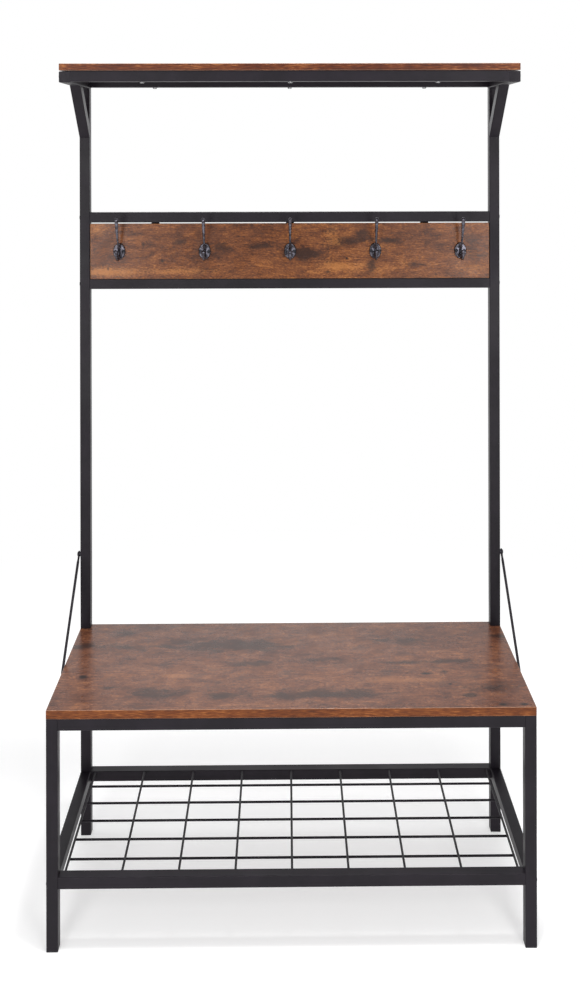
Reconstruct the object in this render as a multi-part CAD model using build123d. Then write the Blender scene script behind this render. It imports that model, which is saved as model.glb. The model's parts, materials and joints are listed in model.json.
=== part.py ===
from build123d import *

import os
from math import atan2, cos, degrees, radians, sin

# An entryway bench with a coat rack and a top shelf, built from square steel tube and laminated board.
# Millimetres. +Z is up, the sitter faces -Y, and the origin is on the floor at the middle of the outline.

# Overall sizes
WIDTH = 1000
DEPTH = 400
HEIGHT = 1817
SEAT_TOP = 492
SHELF_RAIL_TOP = 152
TOP_SHELF_DEPTH = 260
RACK_UPPER_RAIL_TOP = 1480.5
RACK_LOWER_RAIL_TOP = 1322.5

# Stock
TUBE = 24
WALL = 1.2
TUBE_CORNER = 1.8
WIRE = 5
ROD = 6
SEAT_BOARD = 18
THIN_BOARD = 15
BOARD_EDGE = 0.8

# Places that follow from the sizes above
HALF_WIDTH = WIDTH / 2
HALF_DEPTH = DEPTH / 2
LEG_X = HALF_WIDTH - TUBE / 2
LEG_Y = HALF_DEPTH - TUBE / 2
INNER_X = HALF_WIDTH - TUBE
INNER_Y = HALF_DEPTH - TUBE
SEAT_UNDERSIDE = SEAT_TOP - SEAT_BOARD
SEAT_RAIL_Z = SEAT_UNDERSIDE - TUBE / 2
SHELF_RAIL_Z = SHELF_RAIL_TOP - TUBE / 2
TOP_SHELF_UNDERSIDE = HEIGHT - THIN_BOARD
TOP_RAIL_Z = TOP_SHELF_UNDERSIDE - TUBE / 2
TOP_SHELF_FRONT = HALF_DEPTH - TOP_SHELF_DEPTH
RACK_UPPER_RAIL_Z = RACK_UPPER_RAIL_TOP - TUBE / 2
RACK_LOWER_RAIL_Z = RACK_LOWER_RAIL_TOP - TUBE / 2

# The side rails of the top frame sit a little under the board, and the front rail a little behind its edge.
SIDE_RAIL_DROP = 2
SIDE_RAIL_Z = TOP_RAIL_Z - SIDE_RAIL_DROP
SIDE_RAIL_UNDERSIDE = SIDE_RAIL_Z - TUBE / 2
FRONT_RAIL_SETBACK = 1
TOP_FRONT_RAIL_Y = TOP_SHELF_FRONT + FRONT_RAIL_SETBACK + TUBE / 2
BRACE_REACH = 118

# Plastic caps in the tube ends
CAP_FIT = 0.1
FOOT_FLANGE = 4.5
FOOT_PLUG = 14
END_FLANGE = 2
END_PLUG = 6
CAP_EDGE = 1.2
PLUG_CHAMFER = 0.8

# Wire shelf
CROSS_WIRES = 9
CROSS_PITCH = 116.4
WIRE_DROP = 3.5
CROSS_WIRE_Z = SHELF_RAIL_TOP - WIRE_DROP
LONG_WIRES = 5
LONG_PITCH = 64.7
LONG_WIRE_Z = CROSS_WIRE_Z - WIRE

# Rack board and its hooks
RACK_BOARD_GAP = 3
RACK_BOARD_END_GAP = 1
RACK_BOARD_SETBACK = 1
TAB_WIDTH = 19
TAB_THICK = 2.5
TAB_HEIGHT = 21
TAB_PITCH = 322
HOOKS = 5
HOOK_PITCH = 203
HOOK_WIDTH = 29
HOOK_HEIGHT = 39
HOOK_THICK = 4
HOOK_FLOOR = 1.8
HOOK_BEVEL = 35
HOOK_SCREW_X = 9.5
HOOK_SCREW_POCKET = 0.6
HOOK_SCREW_CLEARANCE = 0.4

# Each prong's line, as (distance out from the board, height above the base's middle), and its thickness
UPPER_PRONG = [(1.5, 4), (12, 9), (28, 28), (40, 54), (47, 77)]
UPPER_PRONG_RADII = [4.2, 2.7, 2.4, 2.9, 3.7, 4.3]
UPPER_KNOB_R = 5
LOWER_PRONG = [(2.5, 8), (5.5, -3), (14, -13.5), (30, -17), (43, -10), (49, 2)]
LOWER_PRONG_RADII = [3.4, 3.8, 3.5, 3.1, 3.0, 3.2]
LOWER_KNOB_R = 4.6

# Boards are screwed from below at three places along each rail.
BOARD_SCREW_X = 330
TOP_SCREW_X = 322

# Side stays: from the upright down to the seat's side rail
STAY_TOP = (LEG_Y, 665)
STAY_BOTTOM = (-26, SEAT_RAIL_Z)
STAY_FLAT = 3
STAY_EYE_R = 7
STAY_EYE_LAND = 2
STAY_NECK = 14
STAY_SPACER = 3.5
STAY_SPACER_R = 5.5
STAY_SCREW_HEAD_D = 10
STAY_SCREW_HEAD = 2.2
STAY_SCREW_LENGTH = 14

# Fasteners
M6 = 6
M6_CLEARANCE = 6.6
M8 = 8
M8_CLEARANCE = 8.6
INSERT_D = 9
INSERT_LENGTH = 11
WOOD_SCREW = 3.5
WOOD_SCREW_LENGTH = 13
WOOD_SCREW_HEAD_D = 7
WOOD_SCREW_HEAD = 2
END_PLATE = 3
POST_PLATE = 4
BOLT_LENGTH = 36
BOLT_HEAD_D = 12
BOLT_HEAD = 1.8
HEX_SOCKET_R = 2.3
HEX_SOCKET_DEPTH = 1.4
BOARD_SCREW_HEAD_D = 10
BOARD_SCREW_HEAD = 3.4
STUD_THREAD = 8
SHELF_BOLT_DROP = 5.5

SIDES = {"left": -1, "right": 1}
ENDS = {"front": -1, "rear": 1}

parts = {}


def save(name, shape):
    parts[name] = shape


def group(shapes):
    """One node of separate solids."""
    return Compound(children=[s.solid() for s in shapes])


def spread(count, pitch):
    """Positions of count things at a pitch, centred on zero."""
    return [(i - (count - 1) / 2) * pitch for i in range(count)]


# Stock shapes ------------------------------------------------------------------------------------


def tube(length):
    """Square tube standing on the XY plane."""
    outside = RectangleRounded(TUBE, TUBE, TUBE_CORNER)
    inside = RectangleRounded(TUBE - 2 * WALL, TUBE - 2 * WALL, TUBE_CORNER - WALL)
    return extrude(outside - inside, length)


def tube_x(start, end, y, z):
    return Pos(start, y, z) * Rot(0, 90, 0) * tube(end - start)


def tube_y(start, end, x, z):
    return Pos(x, start, z) * Rot(-90, 0, 0) * tube(end - start)


def tube_z(start, end, x, y):
    return Pos(x, y, start) * tube(end - start)


def hole_x(x, y, z, diameter, length):
    """Cutter along X, centred on the point."""
    return Pos(x, y, z) * Rot(0, 90, 0) * Cylinder(diameter / 2, length)


def hole_y(x, y, z, diameter, length):
    return Pos(x, y, z) * Rot(90, 0, 0) * Cylinder(diameter / 2, length)


def hole_z(x, y, z, diameter, length):
    return Pos(x, y, z) * Cylinder(diameter / 2, length)


def board(size_x, size_y, size_z):
    """Laminated board with every edge eased."""
    block = Box(size_x, size_y, size_z)
    return fillet(block.edges(), BOARD_EDGE)


def plug_cap(flange, plug_length):
    """Plastic cap: the flange lies under the XY plane and the plug goes up into the tube."""
    inside = TUBE - 2 * WALL - 2 * CAP_FIT
    head = extrude(RectangleRounded(TUBE, TUBE, TUBE_CORNER), -flange)
    head = fillet(head.edges().group_by(Axis.Z)[0], min(CAP_EDGE, flange / 2))
    plug = extrude(RectangleRounded(inside, inside, 2 * PLUG_CHAMFER), plug_length)
    plug = chamfer(plug.edges().group_by(Axis.Z)[-1], PLUG_CHAMFER)
    return head + plug


def plate(thickness, hole):
    """Steel plate closing a tube end from inside, with a threaded hole."""
    inside = TUBE - 2 * WALL
    blank = extrude(RectangleRounded(inside, inside, TUBE_CORNER - WALL), thickness)
    return blank - Cylinder(hole / 2, 4 * thickness)


def cross_recess(size, depth):
    """Cutter for a cross-head screw, going down from the XY plane."""
    bar = Box(size, size / 4, 2 * depth)
    return bar + Rot(0, 0, 90) * bar


def pan_screw(head_d, head, shank_d, length):
    """Pan-head screw hanging from the XY plane, head above it."""
    top = extrude(Circle(head_d / 2), head)
    top = fillet(top.edges().group_by(Axis.Z)[-1], head * 0.6)
    shank = extrude(Circle(shank_d / 2), -length)
    shank = chamfer(shank.edges().group_by(Axis.Z)[0], shank_d * 0.15)
    return top + shank - Pos(0, 0, head) * cross_recess(head_d * 0.55, head * 0.5)


def flat_bolt():
    """Furniture bolt with a low domed head and a hexagon socket, hanging from the XY plane."""
    head = extrude(Circle(BOLT_HEAD_D / 2), BOLT_HEAD)
    head = fillet(head.edges().group_by(Axis.Z)[-1], BOLT_HEAD * 0.7)
    shank = extrude(Circle(M6 / 2), -BOLT_LENGTH)
    socket = Pos(0, 0, BOLT_HEAD) * extrude(RegularPolygon(HEX_SOCKET_R, 6), -HEX_SOCKET_DEPTH)
    return head + shank - socket


# Bench base --------------------------------------------------------------------------------------


def leg(side, end):
    """Leg tube between its foot cap and the seat board, drilled along X for the shelf bolt."""
    x, y = side * LEG_X, end * LEG_Y
    bolt = hole_x(x, y, SHELF_RAIL_Z - SHELF_BOLT_DROP, M6_CLEARANCE, 2 * TUBE)
    return tube_z(FOOT_FLANGE, SEAT_UNDERSIDE, x, y) - bolt


def seat_rail(end):
    """Long rail under the seat board, drilled for the board's three screws."""
    rail = tube_x(-INNER_X, INNER_X, end * LEG_Y, SEAT_RAIL_Z)
    for x in (-BOARD_SCREW_X, 0, BOARD_SCREW_X):
        rail -= hole_z(x, end * LEG_Y, SEAT_RAIL_Z, M6_CLEARANCE, 2 * TUBE)
    return rail


def seat_side_rail(side):
    """Short rail under the seat board, with one hole for the stay screw in its outer wall."""
    rail = tube_y(-INNER_Y, INNER_Y, side * LEG_X, SEAT_RAIL_Z)
    return rail - hole_x(side * HALF_WIDTH, STAY_BOTTOM[0], STAY_BOTTOM[1], M6, TUBE)


def seat_board():
    """Seat with holes for the two upright studs and blind holes for the threaded inserts."""
    middle = SEAT_TOP - SEAT_BOARD / 2
    seat = Pos(0, 0, middle) * board(WIDTH, DEPTH, SEAT_BOARD)
    for side in SIDES.values():
        seat -= hole_z(side * LEG_X, LEG_Y, middle, M8_CLEARANCE, 2 * SEAT_BOARD)
    for x in (-BOARD_SCREW_X, 0, BOARD_SCREW_X):
        for end in ENDS.values():
            seat -= hole_z(x, end * LEG_Y, SEAT_UNDERSIDE, INSERT_D, 2 * INSERT_LENGTH)
    return seat


def bench_base():
    for side_name, side in SIDES.items():
        for end_name, end in ENDS.items():
            save(f"{end_name}_leg_{side_name}", leg(side, end))
            cap = Pos(side * LEG_X, end * LEG_Y, FOOT_FLANGE) * plug_cap(FOOT_FLANGE, FOOT_PLUG)
            save(f"foot_cap_{end_name}_{side_name}", cap)
        save(f"seat_rail_{side_name}", seat_side_rail(side))
        save(f"shelf_rail_{side_name}", tube_y(-INNER_Y, INNER_Y, side * LEG_X, SHELF_RAIL_Z))
    for end_name, end in ENDS.items():
        save(f"seat_rail_{end_name}", seat_rail(end))
        save(f"shelf_rail_{end_name}", tube_x(-INNER_X, INNER_X, end * LEG_Y, SHELF_RAIL_Z))
    save("seat_cross_rail", tube_y(-INNER_Y, INNER_Y, 0, SEAT_RAIL_Z))
    save("seat_board", seat_board())


def wire_shelf():
    """Front-to-back wires welded between the long rails, with long wires under them."""
    cross = []
    for x in spread(CROSS_WIRES, CROSS_PITCH):
        cross.append(Pos(x, 0, CROSS_WIRE_Z) * Rot(90, 0, 0) * Cylinder(WIRE / 2, 2 * INNER_Y))
    save("shelf_wires_front_to_back", group(cross))
    overhang = WIRE / 2
    length = (CROSS_WIRES - 1) * CROSS_PITCH + 2 * overhang
    long = []
    for y in spread(LONG_WIRES, LONG_PITCH):
        long.append(Pos(0, y, LONG_WIRE_Z) * Rot(0, 90, 0) * Cylinder(WIRE / 2, length))
    save("shelf_wires_side_to_side", group(long))


# Back frame --------------------------------------------------------------------------------------


def upright(side):
    """Post from the seat board to the top frame, drilled for the rack bolts and the stay screw."""
    post = tube_z(SEAT_TOP, SIDE_RAIL_UNDERSIDE, side * LEG_X, LEG_Y)
    for z in (RACK_UPPER_RAIL_Z, RACK_LOWER_RAIL_Z):
        post -= hole_x(side * LEG_X, LEG_Y, z, M6_CLEARANCE, 2 * TUBE)
    return post - hole_x(side * HALF_WIDTH, STAY_TOP[0], STAY_TOP[1], M6, TUBE)


def uprights():
    """The posts stand on the seat board, and a stud through it ties each one to the leg below."""
    bases, tops, studs = [], [], []
    stud_length = SEAT_BOARD + 2 * (POST_PLATE + STUD_THREAD)
    for side_name, side in SIDES.items():
        x = side * LEG_X
        save(f"upright_{side_name}", upright(side))
        bases.append(Pos(x, LEG_Y, SEAT_TOP) * plate(POST_PLATE, M8))
        tops.append(Pos(x, LEG_Y, SEAT_UNDERSIDE - POST_PLATE) * plate(POST_PLATE, M8))
        studs.append(hole_z(x, LEG_Y, SEAT_TOP - SEAT_BOARD / 2, M8, stud_length))
    save("upright_base_plates", group(bases))
    save("leg_top_plates", group(tops))
    save("upright_studs", group(studs))


def rack_tab(x, upper):
    """Small steel tab welded to a rack rail behind the board, with a hole for one wood screw."""
    root = RACK_UPPER_RAIL_TOP - TUBE if upper else RACK_LOWER_RAIL_TOP
    z = root - TAB_HEIGHT / 2 if upper else root + TAB_HEIGHT / 2
    y = rack_board_back() + TAB_THICK / 2
    tab = Pos(x, y, z) * Box(TAB_WIDTH, TAB_THICK, TAB_HEIGHT)
    return tab - hole_y(x, y, z, WOOD_SCREW, 2 * TAB_THICK)


def rack_board_front():
    return INNER_Y + RACK_BOARD_SETBACK


def rack_board_back():
    return rack_board_front() + THIN_BOARD


def tab_screw_places():
    upper = RACK_UPPER_RAIL_TOP - TUBE - TAB_HEIGHT / 2
    lower = RACK_LOWER_RAIL_TOP + TAB_HEIGHT / 2
    return [(x, z) for z in (upper, lower) for x in (-TAB_PITCH, 0, TAB_PITCH)]


def hook_middle_z():
    top = RACK_UPPER_RAIL_TOP - TUBE - RACK_BOARD_GAP
    return (top + RACK_LOWER_RAIL_TOP) / 2


def rack_board():
    """Board between the uprights, standing on the lower rack rail, with pilot holes."""
    top = RACK_UPPER_RAIL_TOP - TUBE - RACK_BOARD_GAP
    height = top - RACK_LOWER_RAIL_TOP
    length = 2 * (INNER_X - RACK_BOARD_END_GAP)
    middle_y = rack_board_front() + THIN_BOARD / 2
    panel = Pos(0, middle_y, hook_middle_z()) * board(length, THIN_BOARD, height)
    for x, z in tab_screw_places():
        panel -= hole_y(x, rack_board_back(), z, WOOD_SCREW, 2 * (WOOD_SCREW_LENGTH - TAB_THICK))
    depth = hook_screw_reach()
    for x in spread(HOOKS, HOOK_PITCH):
        for offset in (-HOOK_SCREW_X, HOOK_SCREW_X):
            panel -= hole_y(x + offset, rack_board_front(), hook_middle_z(), WOOD_SCREW, 2 * depth)
    return panel


def rack():
    for name, z in (("upper", RACK_UPPER_RAIL_Z), ("lower", RACK_LOWER_RAIL_Z)):
        save(f"rack_rail_{name}", tube_x(-INNER_X, INNER_X, LEG_Y, z))
    save("rack_board", rack_board())
    tabs = [rack_tab(x, upper) for upper in (True, False) for x in (-TAB_PITCH, 0, TAB_PITCH)]
    save("rack_board_tabs", group(tabs))
    screw = pan_screw(WOOD_SCREW_HEAD_D, WOOD_SCREW_HEAD, WOOD_SCREW, WOOD_SCREW_LENGTH)
    back = rack_board_back() + TAB_THICK
    screws = [Pos(x, back, z) * Rot(-90, 0, 0) * screw for x, z in tab_screw_places()]
    save("rack_board_screws", group(screws))


# Coat hooks --------------------------------------------------------------------------------------


def hook_screw_reach():
    """How far a hook screw goes into the board."""
    return WOOD_SCREW_LENGTH - HOOK_FLOOR


def prong(points, radii):
    """Tapered round bar through points given as (distance out from the board, height)."""
    path = Spline(*[(0, -out, up) for out, up in points])
    sections = []
    for i, radius in enumerate(radii):
        at = path ^ (i / (len(radii) - 1))
        sections.append(at * Circle(radius))
    return loft(sections)


def coat_hook():
    """Cast double hook with its back on the XZ plane, facing -Y."""
    outline = Ellipse(HOOK_WIDTH / 2, HOOK_HEIGHT / 2)
    rim = HOOK_FLOOR
    base = extrude(outline, rim)
    base += extrude(Pos(0, 0, rim) * outline, HOOK_THICK - rim, taper=HOOK_BEVEL)
    base = Rot(90, 0, 0) * base
    hook = base
    for points, radii, knob in (
        (UPPER_PRONG, UPPER_PRONG_RADII, UPPER_KNOB_R),
        (LOWER_PRONG, LOWER_PRONG_RADII, LOWER_KNOB_R),
    ):
        out, up = points[-1]
        hook += prong(points, radii)
        hook += Pos(0, -out, up) * Sphere(knob)
    hook -= Pos(0, HOOK_THICK, 0) * Box(HOOK_WIDTH, 2 * HOOK_THICK, HOOK_HEIGHT)
    for x in (-HOOK_SCREW_X, HOOK_SCREW_X):
        pocket = WOOD_SCREW_HEAD_D + HOOK_SCREW_POCKET
        hook -= hole_y(x, -HOOK_FLOOR - HOOK_THICK, 0, pocket, 2 * HOOK_THICK)
        hook -= hole_y(x, 0, 0, WOOD_SCREW + HOOK_SCREW_CLEARANCE, 4 * HOOK_THICK)
    return hook


def coat_hooks():
    hook = coat_hook()
    screw = pan_screw(WOOD_SCREW_HEAD_D, WOOD_SCREW_HEAD, WOOD_SCREW, WOOD_SCREW_LENGTH)
    screws = []
    for number, x in enumerate(spread(HOOKS, HOOK_PITCH), start=1):
        at = Pos(x, rack_board_front(), hook_middle_z())
        save(f"coat_hook_{number}", at * hook)
        for offset in (-HOOK_SCREW_X, HOOK_SCREW_X):
            screws.append(at * Pos(offset, -HOOK_FLOOR, 0) * Rot(90, 0, 0) * screw)
    save("coat_hook_screws", group(screws))


# Top frame ---------------------------------------------------------------------------------------


def top_side_rail(side):
    """Rail on top of the upright, running forward under the shelf's end."""
    rail = tube_y(TOP_SHELF_FRONT + END_FLANGE, HALF_DEPTH - END_FLANGE, side * LEG_X, SIDE_RAIL_Z)
    for y in (TOP_FRONT_RAIL_Y, LEG_Y):
        rail -= hole_x(side * LEG_X, y, TOP_RAIL_Z, M6_CLEARANCE, 2 * TUBE)
    return rail


def top_rail(y):
    """Long rail under the top shelf, drilled for the board's three screws."""
    rail = tube_x(-INNER_X, INNER_X, y, TOP_RAIL_Z)
    for x in (-TOP_SCREW_X, 0, TOP_SCREW_X):
        rail -= hole_z(x, y, TOP_RAIL_Z, M6_CLEARANCE, 2 * TUBE)
    return rail


def shelf_brace(side):
    """Diagonal tube at 45 degrees, cut flush to the upright and to the side rail."""
    middle_y = INNER_Y - BRACE_REACH / 2 + TUBE / 2 * sin(radians(45))
    middle_z = SIDE_RAIL_UNDERSIDE - BRACE_REACH / 2 + TUBE / 2 * cos(radians(45))
    length = 3 * BRACE_REACH
    bar = Pos(side * LEG_X, middle_y, middle_z) * Rot(45, 0, 0) * Pos(0, 0, -length / 2) * tube(length)
    corner_y, corner_z = INNER_Y - BRACE_REACH, SIDE_RAIL_UNDERSIDE - BRACE_REACH
    room = Pos(side * LEG_X, corner_y, corner_z) * Box(2 * TUBE, 2 * BRACE_REACH, 2 * BRACE_REACH)
    return bar & room


def top_shelf_board():
    middle_y = TOP_SHELF_FRONT + TOP_SHELF_DEPTH / 2
    middle_z = HEIGHT - THIN_BOARD / 2
    shelf = Pos(0, middle_y, middle_z) * board(WIDTH, TOP_SHELF_DEPTH, THIN_BOARD)
    for x in (-TOP_SCREW_X, 0, TOP_SCREW_X):
        for y in (TOP_FRONT_RAIL_Y, LEG_Y):
            shelf -= hole_z(x, y, TOP_SHELF_UNDERSIDE, INSERT_D, 2 * INSERT_LENGTH)
    return shelf


def top_frame():
    caps = []
    for side_name, side in SIDES.items():
        save(f"top_rail_{side_name}", top_side_rail(side))
        save(f"shelf_brace_{side_name}", shelf_brace(side))
        front = Pos(side * LEG_X, TOP_SHELF_FRONT + END_FLANGE, SIDE_RAIL_Z) * Rot(-90, 0, 0)
        rear = Pos(side * LEG_X, HALF_DEPTH - END_FLANGE, SIDE_RAIL_Z) * Rot(90, 0, 0)
        caps += [place * plug_cap(END_FLANGE, END_PLUG) for place in (front, rear)]
    save("top_rail_front", top_rail(TOP_FRONT_RAIL_Y))
    save("top_rail_rear", top_rail(LEG_Y))
    save("top_rail_caps", group(caps))
    save("top_shelf_board", top_shelf_board())


# Side stays --------------------------------------------------------------------------------------


def stay():
    """Round rod along +Z, with a flattened and drilled eye at z = 0 and at its length."""
    rise, run = STAY_TOP[1] - STAY_BOTTOM[1], STAY_TOP[0] - STAY_BOTTOM[0]
    length = (rise**2 + run**2) ** 0.5
    flat_end, round_start = STAY_EYE_R + STAY_EYE_LAND, STAY_EYE_R + STAY_NECK
    width = 1.7 * STAY_EYE_R
    rod = Pos(0, 0, length / 2) * Cylinder(ROD / 2, length - 2 * round_start)
    eye = Rot(0, 90, 0) * Cylinder(STAY_EYE_R, STAY_FLAT)
    eye += Pos(0, 0, flat_end / 2) * Box(STAY_FLAT, width, flat_end)
    flat = Pos(0, 0, flat_end) * RectangleRounded(STAY_FLAT, width, 0.4)
    neck = loft([flat, Pos(0, 0, round_start) * Circle(ROD / 2)])
    end = eye + neck - Rot(0, 90, 0) * Cylinder(M6_CLEARANCE / 2, 2 * STAY_FLAT)
    return rod + end + Pos(0, 0, length) * Rot(180, 0, 0) * end


def side_stays():
    """Each stay is held off the frame by a spacer at both ends."""
    rise, run = STAY_TOP[1] - STAY_BOTTOM[1], STAY_TOP[0] - STAY_BOTTOM[0]
    lean = -degrees(atan2(run, rise))
    bar = stay()
    spacers, screws = [], []
    ring = Cylinder(STAY_SPACER_R, STAY_SPACER) - Cylinder(M6_CLEARANCE / 2, 2 * STAY_SPACER)
    spacer = Rot(0, 90, 0) * ring
    screw = pan_screw(STAY_SCREW_HEAD_D, STAY_SCREW_HEAD, M6, STAY_SCREW_LENGTH)
    for side_name, side in SIDES.items():
        middle_x = side * (HALF_WIDTH + STAY_SPACER + STAY_FLAT / 2)
        save(f"side_stay_{side_name}", Pos(middle_x, *STAY_BOTTOM) * Rot(lean, 0, 0) * bar)
        for y, z in (STAY_TOP, STAY_BOTTOM):
            spacers.append(Pos(side * (HALF_WIDTH + STAY_SPACER / 2), y, z) * spacer)
            outside = side * (HALF_WIDTH + STAY_SPACER + STAY_FLAT)
            screws.append(Pos(outside, y, z) * Rot(0, side * 90, 0) * screw)
    save("side_stay_spacers", group(spacers))
    save("side_stay_screws", group(screws))


# Hidden hardware ---------------------------------------------------------------------------------


def board_hardware():
    """Threaded inserts in the two big boards and the screws that come up through the rails."""
    insert = extrude(Circle(INSERT_D / 2) - Circle(M6 / 2), INSERT_LENGTH)
    screw = Rot(180, 0, 0) * pan_screw(BOARD_SCREW_HEAD_D, BOARD_SCREW_HEAD, M6, TUBE + INSERT_LENGTH - 1)
    inserts = []
    rows = (
        ("seat_board_screws", BOARD_SCREW_X, (-LEG_Y, LEG_Y), SEAT_UNDERSIDE),
        ("top_shelf_screws", TOP_SCREW_X, (TOP_FRONT_RAIL_Y, LEG_Y), TOP_SHELF_UNDERSIDE),
    )
    for name, reach, row_ys, underside in rows:
        places = [(x, y) for y in row_ys for x in (-reach, 0, reach)]
        inserts += [Pos(x, y, underside) * insert for x, y in places]
        save(name, group([Pos(x, y, underside - TUBE) * screw for x, y in places]))
    save("board_inserts", group(inserts))


def frame_bolts():
    """Bolts through the legs, uprights and top side rails into threaded plates in the long rails' ends."""
    bolt_places = [
        (-LEG_Y, SHELF_RAIL_Z, SHELF_RAIL_Z - SHELF_BOLT_DROP),
        (LEG_Y, SHELF_RAIL_Z, SHELF_RAIL_Z - SHELF_BOLT_DROP),
        (LEG_Y, RACK_UPPER_RAIL_Z, RACK_UPPER_RAIL_Z),
        (LEG_Y, RACK_LOWER_RAIL_Z, RACK_LOWER_RAIL_Z),
        (TOP_FRONT_RAIL_Y, TOP_RAIL_Z, TOP_RAIL_Z),
        (LEG_Y, TOP_RAIL_Z, TOP_RAIL_Z),
    ]
    inside = TUBE - 2 * WALL
    blank = extrude(RectangleRounded(inside, inside, TUBE_CORNER - WALL), END_PLATE)
    bolts, plates = [], []
    for side in SIDES.values():
        for y, rail_z, bolt_z in bolt_places:
            bolts.append(Pos(side * HALF_WIDTH, y, bolt_z) * Rot(0, side * 90, 0) * flat_bolt())
            end_plate = Pos(side * INNER_X, y, rail_z) * Rot(0, -side * 90, 0) * blank
            plates.append(end_plate - hole_x(side * INNER_X, y, bolt_z, M6, 4 * END_PLATE))
    save("frame_bolts", group(bolts))
    save("rail_end_plates", group(plates))


bench_base()
wire_shelf()
uprights()
rack()
coat_hooks()
top_frame()
side_stays()
board_hardware()
frame_bolts()

os.makedirs("parts", exist_ok=True)
for name, shape in parts.items():
    export_step(shape, f"parts/{name}.step")
print(f"{len(parts)} nodes")
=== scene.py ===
import json
import math

import bmesh
import bpy
from mathutils import Matrix, Vector

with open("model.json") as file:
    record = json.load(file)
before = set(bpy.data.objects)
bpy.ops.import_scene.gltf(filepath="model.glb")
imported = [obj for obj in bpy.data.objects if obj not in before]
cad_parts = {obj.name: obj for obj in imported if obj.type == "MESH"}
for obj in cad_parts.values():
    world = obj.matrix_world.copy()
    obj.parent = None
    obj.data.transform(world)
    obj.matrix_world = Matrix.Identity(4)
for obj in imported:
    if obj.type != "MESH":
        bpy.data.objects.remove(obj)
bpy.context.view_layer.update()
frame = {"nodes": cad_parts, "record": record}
MM = 0.001

# The camera stands high and level, so upright lines stay parallel, and the shift frames the object.
CAMERA_AT = (-0.01148, -2.41440, 1.63681)
CAMERA_TURN = -0.0103
CAMERA_ROLL = -0.0020
SENSOR = 36.0
FOCAL = 39.16
SHIFT_X = -0.00475
SHIFT_Y = -0.35357
CLIP_START = 0.05
CLIP_END = 100.0

# Floor and studio light. Glows are emission strengths, and lengths are in metres.
WHITE = (1.0, 1.0, 1.0)
PAPER = [(0.67, 0.67, 0.67), (0.69, 0.69, 0.69)]
FLOOR_RADIUS = 40.0
FLOOR_SIDES = 96
FLOOR_GLOW = 0.42
FLOOR_FADE = (1.0, 2.2)
STUDIO_TINT = (0.985, 0.985, 1.0)
FRONT_GLOW = 0.30
LOW_GLOW = 1.55
HIGH_GLOW = 0.45
PANEL_GLOW = (1.85, 0.80)
PANEL_OFFSET = 0.03
# Softboxes as (name, place, aim, width, height, watts)
SOFTBOXES = [
    ("key", (0.25, -0.45, 4.0), (0.0, 0.0, 0.0), 0.5, 0.5, 90.0),
    ("overhead", (0.0, -0.2, 3.6), (0.0, 0.0, 0.0), 2.6, 2.0, 38.0),
    ("left", (-1.1, -2.5, 1.35), (0.0, 0.0, 1.2), 0.7, 2.2, 30.0),
    ("right", (1.1, -2.5, 1.35), (0.0, 0.0, 1.2), 0.7, 2.2, 30.0),
]

# Gloss: the printed boards and the black coatings reflect a little less than bare plastic would.
PRINT_IOR = 1.31
PRINT_ROUGHNESS = 0.24
BAND_EXTRA_ROUGHNESS = 0.16
COAT_IOR = 1.27


# Node helpers --------------------------------------------------------------------------------------


def srgb(r, g, b):
    """Linear colour for 0 to 255 display values."""
    return tuple(((c / 255 + 0.055) / 1.055) ** 2.4 if c > 10 else c / 255 / 12.92 for c in (r, g, b))


class Graph:
    """A node tree with short calls for the nodes used here."""

    def __init__(self, owner, output):
        owner.use_nodes = True
        self.tree = owner.node_tree
        self.tree.nodes.clear()
        self.out = self.tree.nodes.new(output)

    def add(self, kind, inputs=None, **settings):
        node = self.tree.nodes.new("ShaderNode" + kind)
        for key, value in settings.items():
            setattr(node, key, value)
        for key, value in (inputs or {}).items():
            self.put(value, node.inputs[key])
        return node

    def put(self, value, socket):
        """Links a socket or sets a value. Colours are three numbers, and get their alpha here."""
        if isinstance(value, bpy.types.NodeSocket):
            self.link(value, socket)
        elif socket.type == "RGBA":
            socket.default_value = (*value, 1.0)
        else:
            socket.default_value = value

    def link(self, start, end):
        self.tree.links.new(start, end)

    def math(self, operation, a, b=0.0, clamp=False):
        return self.add("Math", {0: a, 1: b}, operation=operation, use_clamp=clamp).outputs[0]

    def plus(self, a, b, clamp=False):
        return self.math("ADD", a, b, clamp)

    def minus(self, a, b):
        return self.math("SUBTRACT", a, b)

    def times(self, a, b):
        return self.math("MULTIPLY", a, b)

    def total(self, values):
        result = values[0]
        for value in values[1:]:
            result = self.plus(result, value)
        return result

    def swing(self, value, amount):
        """A noise from 0 to 1, turned into one around 0 and scaled."""
        return self.times(self.minus(value, 0.5), amount)

    def point(self):
        """The place on the object, in metres in the part's own frame."""
        return self.add("TexCoord").outputs["Object"]

    def split(self, vector):
        return self.add("SeparateXYZ", {0: vector}).outputs

    def join(self, x, y, z):
        return self.add("CombineXYZ", {0: x, 1: y, 2: z}).outputs[0]

    def noise(self, vector, scale, detail, rough, distortion=0.0):
        inputs = {"Vector": vector, "Scale": scale, "Detail": detail, "Roughness": rough}
        inputs["Distortion"] = distortion
        return self.add("TexNoise", inputs).outputs["Fac"]

    def remap(self, value, low, high, to_low=0.0, to_high=1.0):
        inputs = {"Value": value, "From Min": low, "From Max": high, "To Min": to_low, "To Max": to_high}
        return self.add("MapRange", inputs, interpolation_type="SMOOTHSTEP").outputs["Result"]

    def ramp(self, value, stops):
        node = self.add("ValToRGB", {"Fac": value})
        elements = node.color_ramp.elements
        while len(elements) < len(stops):
            elements.new(0.5)
        for element, (place, colour) in zip(elements, stops):
            element.position = place
            element.color = (*colour, 1.0)
        return node.outputs["Color"]

    def mix(self, factor, a, b, blend="MIX"):
        node = self.add("Mix", data_type="RGBA", blend_type=blend)
        for value, index in ((factor, 0), (a, 6), (b, 7)):
            self.put(value, node.inputs[index])
        return node.outputs[2]

    def bump(self, height, strength, distance):
        inputs = {"Height": height, "Strength": strength, "Distance": distance}
        return self.add("Bump", inputs).outputs["Normal"]


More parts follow.
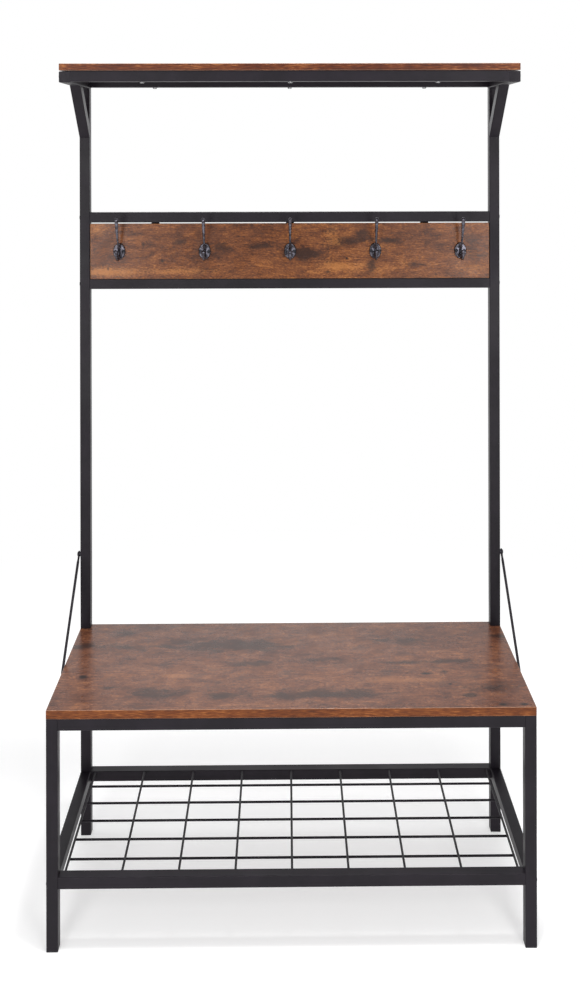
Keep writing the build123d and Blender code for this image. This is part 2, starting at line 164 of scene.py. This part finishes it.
class Surface(Graph):
    """A material with one Principled shader."""

    def __init__(self, name):
        self.material = bpy.data.materials.new(name)
        super().__init__(self.material, "ShaderNodeOutputMaterial")
        self.shader = self.add("BsdfPrincipled")
        self.link(self.shader.outputs["BSDF"], self.out.inputs["Surface"])

    def finish(self, **sockets):
        """Sets the shader's sockets. An underscore stands for the space in a socket's name."""
        for key, value in sockets.items():
            self.put(value, self.shader.inputs[key.replace("_", " ")])
        return self.material


# Laminate ------------------------------------------------------------------------------------------

# Noises of the print as (waves per metre along the grain, across it, offset, detail, roughness, distortion)
FIELD = (3.2, 9.0, 12.4, 2.0, 0.5, 0.0)
BLOTCH = (17.0, 36.0, 3.1, 8.0, 0.76, 0.4)
STREAK = (26.0, 240.0, 41.0, 5.0, 0.68, 0.0)
FIBRE = (150.0, 520.0, 47.0, 3.0, 0.75, 0.0)
PORES = (60.0, 1100.0, 61.0, 2.0, 0.5, 0.0)
SMOKE = (7.0, 19.0, 21.5, 6.0, 0.7, 0.6)
TORN = (24.0, 52.0, 31.0, 6.0, 0.75, 0.6)
RING_SWAY = (2.0, 12.0, 7.7, 3.0, 0.55, 0.0)
RING_BREAKS = (5.0, 22.0, 15.0, 3.0, 0.55, 0.0)
GRAIN_SWAY = (3.0, 6.0, 0.0, 3.0, 0.55, 0.0)
BAND_STRIPES = (48.0, 620.0, 71.0, 4.0, 0.65, 0.0)
BAND_SHADES = (6.0, 26.0, 77.0, 3.0, 0.65, 0.0)

BLOTCH_SHARE = 1.2
STREAK_SHARE = 0.9
FIBRE_SHARE = 1.25
KNOT_REACH = 3.2
KNOT_PULL = 0.7
GRAIN_SWAY_DEPTH = 0.035
RING_SWAY_DEPTH = 0.05
RINGS = 1300.0
RING_STRENGTH = 0.30
STRIPE_SWING = 2.6
# Strength of the painted highlight along the boards' rounded edges
CORNER_HIGHLIGHT_STRENGTH = 0.75

# How each board is printed, and the colour of the painted highlight along its rounded edges. Palettes run from
# dark to light. Marks are (place along the grain, place across it, half length, half width, strength), in mm.
SEAT_LOOK = {
    "palette": [
        (0.00, srgb(54, 32, 25)),
        (0.30, srgb(80, 48, 36)),
        (0.50, srgb(96, 59, 43)),
        (0.72, srgb(113, 72, 50)),
        (1.00, srgb(146, 97, 64)),
    ],
    "edge": [
        (0.00, srgb(60, 27, 9)),
        (0.45, srgb(94, 45, 13)),
        (0.75, srgb(119, 64, 24)),
        (1.00, srgb(156, 95, 47)),
    ],
    "edge_swing": 0.9,
    "field": 0.45,
    "contrast": 1.55,
    "ring": srgb(120, 92, 80),
    "smoke": srgb(66, 46, 40),
    "smoke_amount": 0.55,
    "smudge": srgb(46, 31, 27),
    "pale": srgb(142, 94, 62),
    "knot": srgb(34, 23, 20),
    # Colour of the painted highlight along the board's rounded edges
    "corner_highlight": srgb(196, 158, 132),
    "smudges": [
        (-476, 84, 36, 14, 0.7),
        (-284, -132, 66, 26, 0.75),
        (-144, -144, 44, 16, 0.7),
        (-14, -148, 60, 14, 0.6),
        (-395, 150, 30, 14, 0.5),
        (-392, 78, 30, 14, 0.5),
        (-209, 87, 150, 42, 0.5),
        (-71, 80, 80, 30, 0.45),
        (-87, -2, 70, 22, 0.55),
        (-388, -109, 26, 8, 0.6),
        (70, 9, 60, 20, 0.45),
        (242, -5, 46, 8, 0.75),
        (355, 1, 60, 12, 0.7),
        (65, -136, 60, 22, 0.55),
        (149, -143, 60, 18, 0.6),
        (262, 101, 80, 30, 0.5),
        (370, -150, 18, 8, 0.7),
        (420, -120, 70, 26, 0.45),
        (480, 123, 26, 10, 0.6),
    ],
    "knots": [
        (-450, -61, 10, 9, 0.9),
        (292, -56, 13, 5, 0.85),
        (332, -48, 11, 8, 0.55),
        (338, -103, 5, 5, 0.7),
        (210, -120, 5, 4, 0.6),
        (433, -189, 9, 5, 0.9),
        (477, -188, 9, 5, 0.85),
        (320, -160, 10, 6, 0.5),
    ],
    "pale_patches": [(-250, -60, 44, 12, 0.5), (241, -84, 120, 16, 0.45), (-60, -100, 60, 14, 0.25)],
}
SHELF_LOOK = dict(
    SEAT_LOOK,
    edge=[
        (0.00, srgb(44, 15, 5)),
        (0.45, srgb(76, 31, 9)),
        (0.75, srgb(106, 54, 22)),
        (1.00, srgb(150, 96, 54)),
    ],
    edge_swing=1.9,
    smudges=[
        (-300, 60, 120, 40, 0.5),
        (40, 120, 100, 30, 0.5),
        (330, 20, 90, 30, 0.5),
        (-100, -20, 70, 16, 0.5),
    ],
    knots=[(-150, 90, 10, 7, 0.8), (260, 110, 9, 6, 0.8), (420, 0, 8, 6, 0.7)],
    pale_patches=[(150, 60, 90, 20, 0.4)],
)
RACK_LOOK = dict(
    SEAT_LOOK,
    palette=[
        (0.00, srgb(52, 28, 20)),
        (0.30, srgb(82, 46, 27)),
        (0.50, srgb(106, 60, 33)),
        (0.72, srgb(128, 76, 40)),
        (1.00, srgb(168, 109, 58)),
    ],
    edge=[
        (0.00, srgb(86, 44, 20)),
        (0.45, srgb(132, 74, 34)),
        (0.75, srgb(152, 90, 44)),
        (1.00, srgb(180, 118, 64)),
    ],
    field=0.85,
    contrast=1.45,
    smoke=srgb(82, 47, 33),
    smoke_amount=0.35,
    smudge=srgb(46, 27, 21),
    pale=srgb(178, 116, 62),
    # Colour of the painted highlight along the board's rounded edges
    corner_highlight=srgb(190, 140, 100),
    smudges=[
        (-74, 1398, 34, 9, 0.85),
        (-167, 1398, 30, 16, 0.45),
        (-262, 1409, 34, 12, 0.3),
        (50, 1382, 42, 13, 0.8),
        (10, 1384, 30, 14, 0.45),
        (140, 1412, 36, 13, 0.62),
        (176, 1432, 20, 18, 0.5),
        (234, 1412, 40, 8, 0.7),
        (194, 1350, 13, 19, 0.8),
        (298, 1356, 26, 8, 0.55),
        (438, 1376, 30, 7, 0.4),
        (97, 1437, 18, 5, 0.5),
        (-430, 1400, 50, 30, 0.15),
    ],
    knots=[
        (-349, 1404, 6, 6, 0.55),
        (-304, 1365, 5, 6, 0.65),
        (-433, 1347, 4, 6, 0.6),
        (-464, 1394, 7, 6, 0.5),
        (90, 1338, 9, 4, 0.6),
        (135, 1370, 3, 3, 0.9),
        (-91, 1450, 10, 4, 0.5),
        (348, 1331, 6, 4, 0.5),
    ],
    pale_patches=[
        (100, 1420, 30, 34, 0.32),
        (120, 1350, 70, 16, 0.45),
        (-440, 1340, 90, 14, 0.48),
        (-250, 1340, 120, 10, 0.35),
        (-470, 1440, 40, 20, 0.4),
        (440, 1345, 60, 14, 0.35),
    ],
)


def grain_noise(g, along, across, seed, kind):
    """One of the noises listed above, laid along the grain."""
    scale_along, scale_across, offset, detail, rough, distortion = kind
    place = g.join(g.times(along, scale_along), g.times(across, scale_across), seed + offset)
    return g.noise(place, 1.0, detail, rough, distortion)


def ellipse(g, u, v, mark, reach=1.0):
    """Falls smoothly from 1 at a mark's middle towards 0 outside it. Its strength isn't used here."""
    middle_u, middle_v, half_u, half_v, _ = mark
    du = g.math("DIVIDE", g.minus(u, middle_u * MM), reach * half_u * MM)
    dv = g.math("DIVIDE", g.minus(v, middle_v * MM), reach * half_v * MM)
    square = g.plus(g.times(du, du), g.times(dv, dv))
    return g.math("POWER", math.e, g.times(square, -1.0))


def laminate(name, seed, look, upright=False):
    """Printed rustic wood with its grain along X, and a painted highlight along its rounded edges. Its broad
    faces are level, or upright ones to the front.
    """
    g = Surface(name)
    x, y, z = g.split(g.point())
    u, v, w = (x, z, y) if upright else (x, y, z)

    # The grain bends round the knots and wanders a little.
    pushes = []
    for knot in look["knots"]:
        near = g.times(ellipse(g, u, v, knot, KNOT_REACH), KNOT_PULL)
        pushes.append(g.times(g.minus(v, knot[1] * MM), near))
    flow = g.minus(v, g.total(pushes))
    flow = g.plus(flow, g.swing(grain_noise(g, u, v, seed, GRAIN_SWAY), GRAIN_SWAY_DEPTH))

    def grain(kind):
        return grain_noise(g, u, flow, seed, kind)

    def marks(kind):
        return g.total([g.times(ellipse(g, u, v, mark), mark[4]) for mark in look[kind]])

    # Ground colour: broad fields, ragged blotches, streaks and fibres in one value
    streak = grain(STREAK)
    fibre = grain(FIBRE)
    contrast = look["contrast"]
    value = g.plus(g.swing(grain(FIELD), look["field"]), g.swing(grain(BLOTCH), BLOTCH_SHARE * contrast))
    value = g.plus(value, g.swing(streak, STREAK_SHARE * contrast))
    value = g.plus(value, g.swing(fibre, FIBRE_SHARE * contrast))
    colour = g.ramp(g.plus(value, 0.5, clamp=True), look["palette"])

    # Growth rings as thin broken lines
    rings = g.times(g.plus(flow, g.swing(grain(RING_SWAY), RING_SWAY_DEPTH)), RINGS)
    rings = g.times(g.remap(g.math("SINE", rings), 0.2, 1.0), g.remap(grain(RING_BREAKS), 0.46, 0.62))
    colour = g.mix(g.times(rings, RING_STRENGTH), colour, look["ring"], "MULTIPLY")

    # Smoky patches with torn edges: small ones anywhere, larger smudges where they are placed
    torn = grain(TORN)
    smoke = g.remap(g.plus(grain(SMOKE), g.swing(torn, 0.6)), 0.54, 0.70)
    colour = g.mix(g.times(smoke, look["smoke_amount"]), colour, look["smoke"])
    ragged = g.plus(g.swing(torn, 1.9), g.swing(streak, 1.0))
    dark = g.remap(g.plus(marks("smudges"), ragged), 0.14, 0.62, 0.0, 0.85)
    colour = g.mix(dark, colour, look["smudge"])

    # Pale patches, knots and pores
    ragged = g.plus(g.swing(torn, 0.9), g.swing(fibre, 0.9))
    light = g.remap(g.plus(marks("pale_patches"), ragged), 0.12, 0.60, 0.0, 0.75)
    colour = g.mix(light, colour, look["pale"])
    core = g.remap(g.plus(marks("knots"), g.swing(fibre, 0.5)), 0.15, 0.75)
    colour = g.mix(core, colour, look["knot"])
    pores = grain(PORES)
    colour = g.mix(g.remap(pores, 0.60, 0.76, 0.0, 0.45), colour, look["knot"])

    # The edge band is a strip of its own, straight grained, on the faces that aren't broad.
    normal = g.split(g.add("NewGeometry").outputs["Normal"])
    broad = g.math("ABSOLUTE", normal[1] if upright else normal[2])
    on_edge = g.remap(broad, 0.45, 0.75, 1.0, 0.0)
    length = g.plus(x, z if upright else y)
    stripes = grain_noise(g, length, w, seed, BAND_STRIPES)
    shades = grain_noise(g, length, w, seed, BAND_SHADES)
    band = g.plus(g.swing(stripes, STRIPE_SWING), g.swing(shades, look["edge_swing"]))
    colour = g.mix(on_edge, colour, g.ramp(g.plus(band, 0.5, clamp=True), look["edge"]))

    # A painted highlight: a light line along the rounded edge between the printed face and the band.
    corner_highlight = g.times(g.remap(broad, 0.30, 0.60), g.remap(broad, 0.80, 0.97, 1.0, 0.0))
    colour = g.mix(g.times(corner_highlight, CORNER_HIGHLIGHT_STRENGTH), colour, look["corner_highlight"])

    # Relief and gloss follow the streaks and pores, and the stripes on the band.
    fine = g.plus(g.times(streak, 0.6), g.times(pores, 0.4))
    fine = g.plus(g.times(fine, g.minus(1.0, on_edge)), g.times(stripes, on_edge))
    wear = g.noise(g.point(), 24.0, 3.0, 0.6)
    rough = g.remap(wear, 0.3, 0.7, PRINT_ROUGHNESS - 0.03, PRINT_ROUGHNESS + 0.05)
    rough = g.plus(rough, g.times(on_edge, BAND_EXTRA_ROUGHNESS))
    rough = g.plus(rough, g.times(fine, 0.06))
    relief = g.bump(fine, 0.14, 0.0004)
    return g.finish(Base_Color=colour, Roughness=rough, IOR=PRINT_IOR, Normal=relief)


# Metals and plastic --------------------------------------------------------------------------------


def powder_coat(name, shades, rough, grain):
    """Satin powder coat: fine orange peel, a faint mottle and a few light specks."""
    g = Surface(name)
    place = g.point()
    mottle = g.noise(place, 14.0, 4.0, 0.6)
    colour = g.mix(g.remap(mottle, 0.35, 0.65), shades[0], shades[1])
    speck = g.noise(place, 2600.0, 1.0, 0.5)
    colour = g.mix(g.remap(speck, 0.62, 0.80, 0.0, 0.35), colour, shades[2])
    smear = g.noise(place, 6.0, 3.0, 0.6)
    roughness = g.remap(smear, 0.3, 0.7, rough - 0.05, rough + 0.06)
    peel = g.noise(place, 520.0, 2.0, 0.5)
    relief = g.bump(g.plus(g.times(peel, 0.7), g.times(speck, 0.3)), grain, 0.0003)
    return g.finish(Base_Color=colour, Roughness=roughness, IOR=COAT_IOR, Normal=relief)


def cast_iron(name, stops):
    """Dark cast iron, mottled and lightly pitted."""
    g = Surface(name)
    place = g.point()
    mottle = g.noise(place, 160.0, 4.0, 0.65)
    colour = g.ramp(g.remap(mottle, 0.3, 0.7), stops)
    pit = g.noise(place, 900.0, 3.0, 0.6)
    roughness = g.remap(mottle, 0.3, 0.7, 0.22, 0.36)
    relief = g.bump(g.plus(g.times(mottle, 0.6), g.times(pit, 0.4)), 0.30, 0.0005)
    return g.finish(Base_Color=colour, Metallic=1.0, Roughness=roughness, Normal=relief)


def plated(name, dark, light, rough):
    """Plated steel with faint turning marks."""
    g = Surface(name)
    place = g.point()
    cloud = g.noise(place, 300.0, 3.0, 0.6)
    colour = g.mix(g.remap(cloud, 0.35, 0.65), dark, light)
    marks = g.noise(place, 2200.0, 2.0, 0.5)
    roughness = g.remap(marks, 0.3, 0.7, rough - 0.06, rough + 0.10)
    relief = g.bump(marks, 0.15, 0.0002)
    return g.finish(Base_Color=colour, Metallic=1.0, Roughness=roughness, Normal=relief)


def moulded(name, dark, light, rough):
    """Moulded plastic with a fine spark-eroded texture."""
    g = Surface(name)
    place = g.point()
    cloud = g.noise(place, 60.0, 3.0, 0.6)
    colour = g.mix(g.remap(cloud, 0.35, 0.65), dark, light)
    spark = g.noise(place, 1500.0, 3.0, 0.6)
    roughness = g.remap(spark, 0.3, 0.7, rough - 0.05, rough + 0.08)
    relief = g.bump(spark, 0.3, 0.0003)
    return g.finish(Base_Color=colour, Roughness=roughness, IOR=COAT_IOR, Normal=relief)


COAT_SHADES = (srgb(21, 17, 23), srgb(27, 22, 29), srgb(50, 44, 56))
IRON_STOPS = [(0.0, srgb(56, 54, 58)), (0.5, srgb(80, 78, 85)), (1.0, srgb(116, 114, 124))]

MATERIALS = {
    "black_steel": powder_coat("powder_coat_black", COAT_SHADES, 0.42, 0.22),
    "seat_laminate": laminate("laminate_seat", 3.0, SEAT_LOOK),
    "shelf_laminate": laminate("laminate_shelf", 17.0, SHELF_LOOK),
    "rack_laminate": laminate("laminate_rack", 29.0, RACK_LOOK, upright=True),
    "black_plastic": moulded("plastic_black", srgb(26, 23, 28), srgb(33, 30, 35), 0.5),
    "hook_iron": cast_iron("iron_cast", IRON_STOPS),
    "dark_screw": plated("screw_dark", srgb(40, 40, 44), srgb(66, 66, 72), 0.34),
    "bright_screw": plated("screw_bright", srgb(120, 120, 122), srgb(160, 160, 160), 0.30),
    "bare_steel": plated("steel_bare", srgb(120, 120, 122), srgb(158, 158, 160), 0.40),
}

SLOTS = {entry["node"]: entry["material_slot"] for entry in frame["record"]["subparts"]}

for name, node in frame["nodes"].items():
    node.data.materials.clear()
    node.data.materials.append(MATERIALS[SLOTS[name]])


# Stage ---------------------------------------------------------------------------------------------


def floor():
    """Pale round floor that glows a little, so shadows stay soft. Far out it is as bright as the backdrop."""
    g = Surface("floor_pale")
    x, y, _ = g.split(g.point())
    radius = g.math("SQRT", g.plus(g.times(x, x), g.times(y, y)))
    paper = g.mix(g.noise(g.point(), 3.0, 2.0, 0.5), *PAPER)
    g.finish(Base_Color=paper, Roughness=0.8, Emission_Color=WHITE, Emission_Strength=FLOOR_GLOW)
    glow = g.add("Emission", {"Color": WHITE, "Strength": 1.0})
    blend = g.add("MixShader", {0: g.remap(radius, *FLOOR_FADE)})
    g.link(g.shader.outputs[0], blend.inputs[1])
    g.link(glow.outputs[0], blend.inputs[2])
    g.link(blend.outputs[0], g.out.inputs["Surface"])
    mesh = bpy.data.meshes.new("floor")
    shape = bmesh.new()
    bmesh.ops.create_circle(shape, cap_ends=True, radius=FLOOR_RADIUS, segments=FLOOR_SIDES)
    shape.to_mesh(mesh)
    shape.free()
    mesh.materials.append(g.material)
    thing = bpy.data.objects.new("floor", mesh)
    bpy.context.scene.collection.objects.link(thing)


def backdrop():
    """White to the eye. As a light it is brightest low down and on a panel behind, and dim in front."""
    world = bpy.data.worlds.new("studio")
    bpy.context.scene.world = world
    g = Graph(world, "ShaderNodeOutputWorld")
    # The light's direction as a unit vector: x to the right, y to the rear and z up
    x, y, z = g.split(g.add("TexCoord").outputs["Generated"])
    rear = g.remap(y, -0.15, 0.30)
    low = g.remap(z, 0.34, 0.45, 1.0, 0.0)
    aside = g.math("ABSOLUTE", g.plus(g.math("DIVIDE", x, g.math("MAXIMUM", y, 0.01)), PANEL_OFFSET))
    panel = g.times(g.remap(aside, 0.13, 0.20, 1.0, 0.0), g.remap(z, 0.39, 0.48, *PANEL_GLOW))
    high = g.plus(HIGH_GLOW, panel)
    back = g.plus(g.times(low, LOW_GLOW), g.times(g.minus(1.0, low), high))
    strength = g.plus(g.times(rear, back), g.times(g.minus(1.0, rear), FRONT_GLOW))
    light = g.add("Background", {"Color": STUDIO_TINT, "Strength": strength})
    seen = g.add("Background", {"Color": WHITE})
    mix = g.add("MixShader", {0: g.add("LightPath").outputs["Is Camera Ray"]})
    g.link(light.outputs[0], mix.inputs[1])
    g.link(seen.outputs[0], mix.inputs[2])
    g.link(mix.outputs[0], g.out.inputs["Surface"])


def softbox(name, place, aim, width, height, watts):
    lamp = bpy.data.lights.new(name, "AREA")
    lamp.shape = "RECTANGLE"
    lamp.size = width
    lamp.size_y = height
    lamp.energy = watts
    thing = bpy.data.objects.new(name, lamp)
    thing.location = place
    thing.rotation_euler = (Vector(aim) - Vector(place)).to_track_quat("-Z", "Y").to_euler()
    bpy.context.scene.collection.objects.link(thing)


def camera():
    data = bpy.data.cameras.new("camera")
    data.sensor_width = SENSOR
    data.lens = FOCAL
    data.shift_x = SHIFT_X
    data.shift_y = SHIFT_Y
    data.dof.use_dof = False
    data.clip_start = CLIP_START
    data.clip_end = CLIP_END
    thing = bpy.data.objects.new("camera", data)
    turn = Matrix.Rotation(CAMERA_TURN, 4, "Z") @ Matrix.Rotation(math.pi / 2, 4, "X")
    thing.matrix_world = Matrix.Translation(CAMERA_AT) @ turn @ Matrix.Rotation(CAMERA_ROLL, 4, "Z")
    bpy.context.scene.collection.objects.link(thing)
    bpy.context.scene.camera = thing


camera()
floor()
backdrop()
for box in SOFTBOXES:
    softbox(*box)
bpy.context.scene.view_settings.view_transform = "Standard"
bpy.context.scene.view_settings.look = "None"
